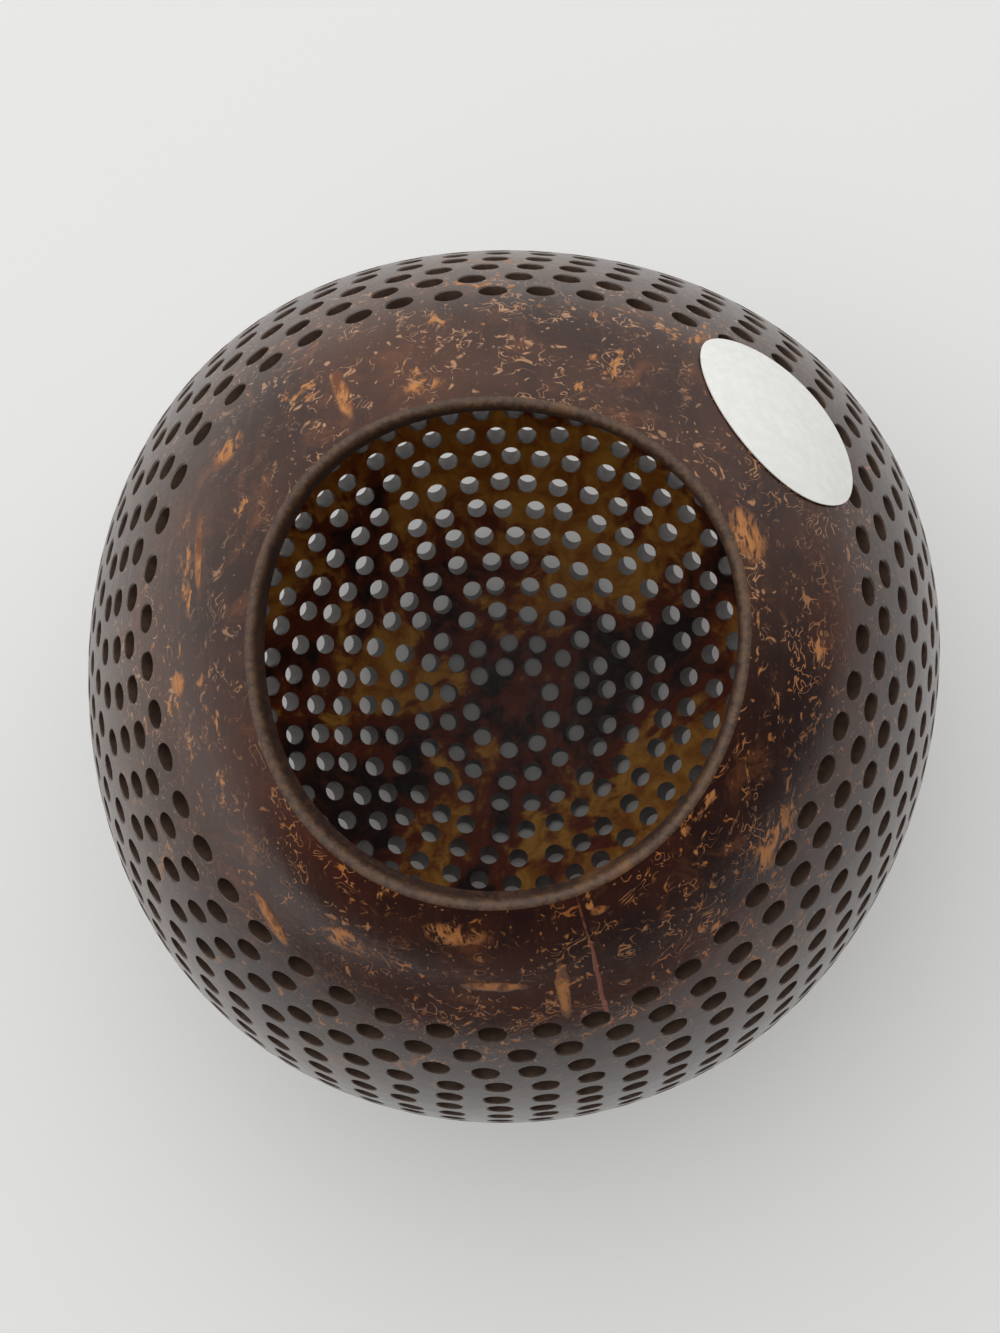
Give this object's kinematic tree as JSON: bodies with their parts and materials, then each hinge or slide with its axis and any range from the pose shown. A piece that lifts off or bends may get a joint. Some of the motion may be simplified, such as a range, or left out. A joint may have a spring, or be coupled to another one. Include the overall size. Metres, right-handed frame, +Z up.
{
  "type": "drilled coconut shell lantern bowl",
  "caption": "Polished coconut shell with a round mouth cut in its crown, rows of drilled round holes through its wall, and a small blank oval paper label.",
  "frame": {"origin": "middle of the sanded flat at the base, on the surface that the shell stands on", "axes": "+Z up through the mouth; -Y is the side at the bottom of the picture and +X is its right"},
  "size_m": [0.1178, 0.1202, 0.1192],
  "materials": {
    "polished_coconut": "polished dark brown coconut shell, satin gloss, with tan fibre flecks",
    "label_paper": "smooth white label paper, blank"
  },
  "bodies": {
    "root": {"coconut_shell": "polished_coconut", "paper_label": "label_paper"}
  },
  "joints": []
}
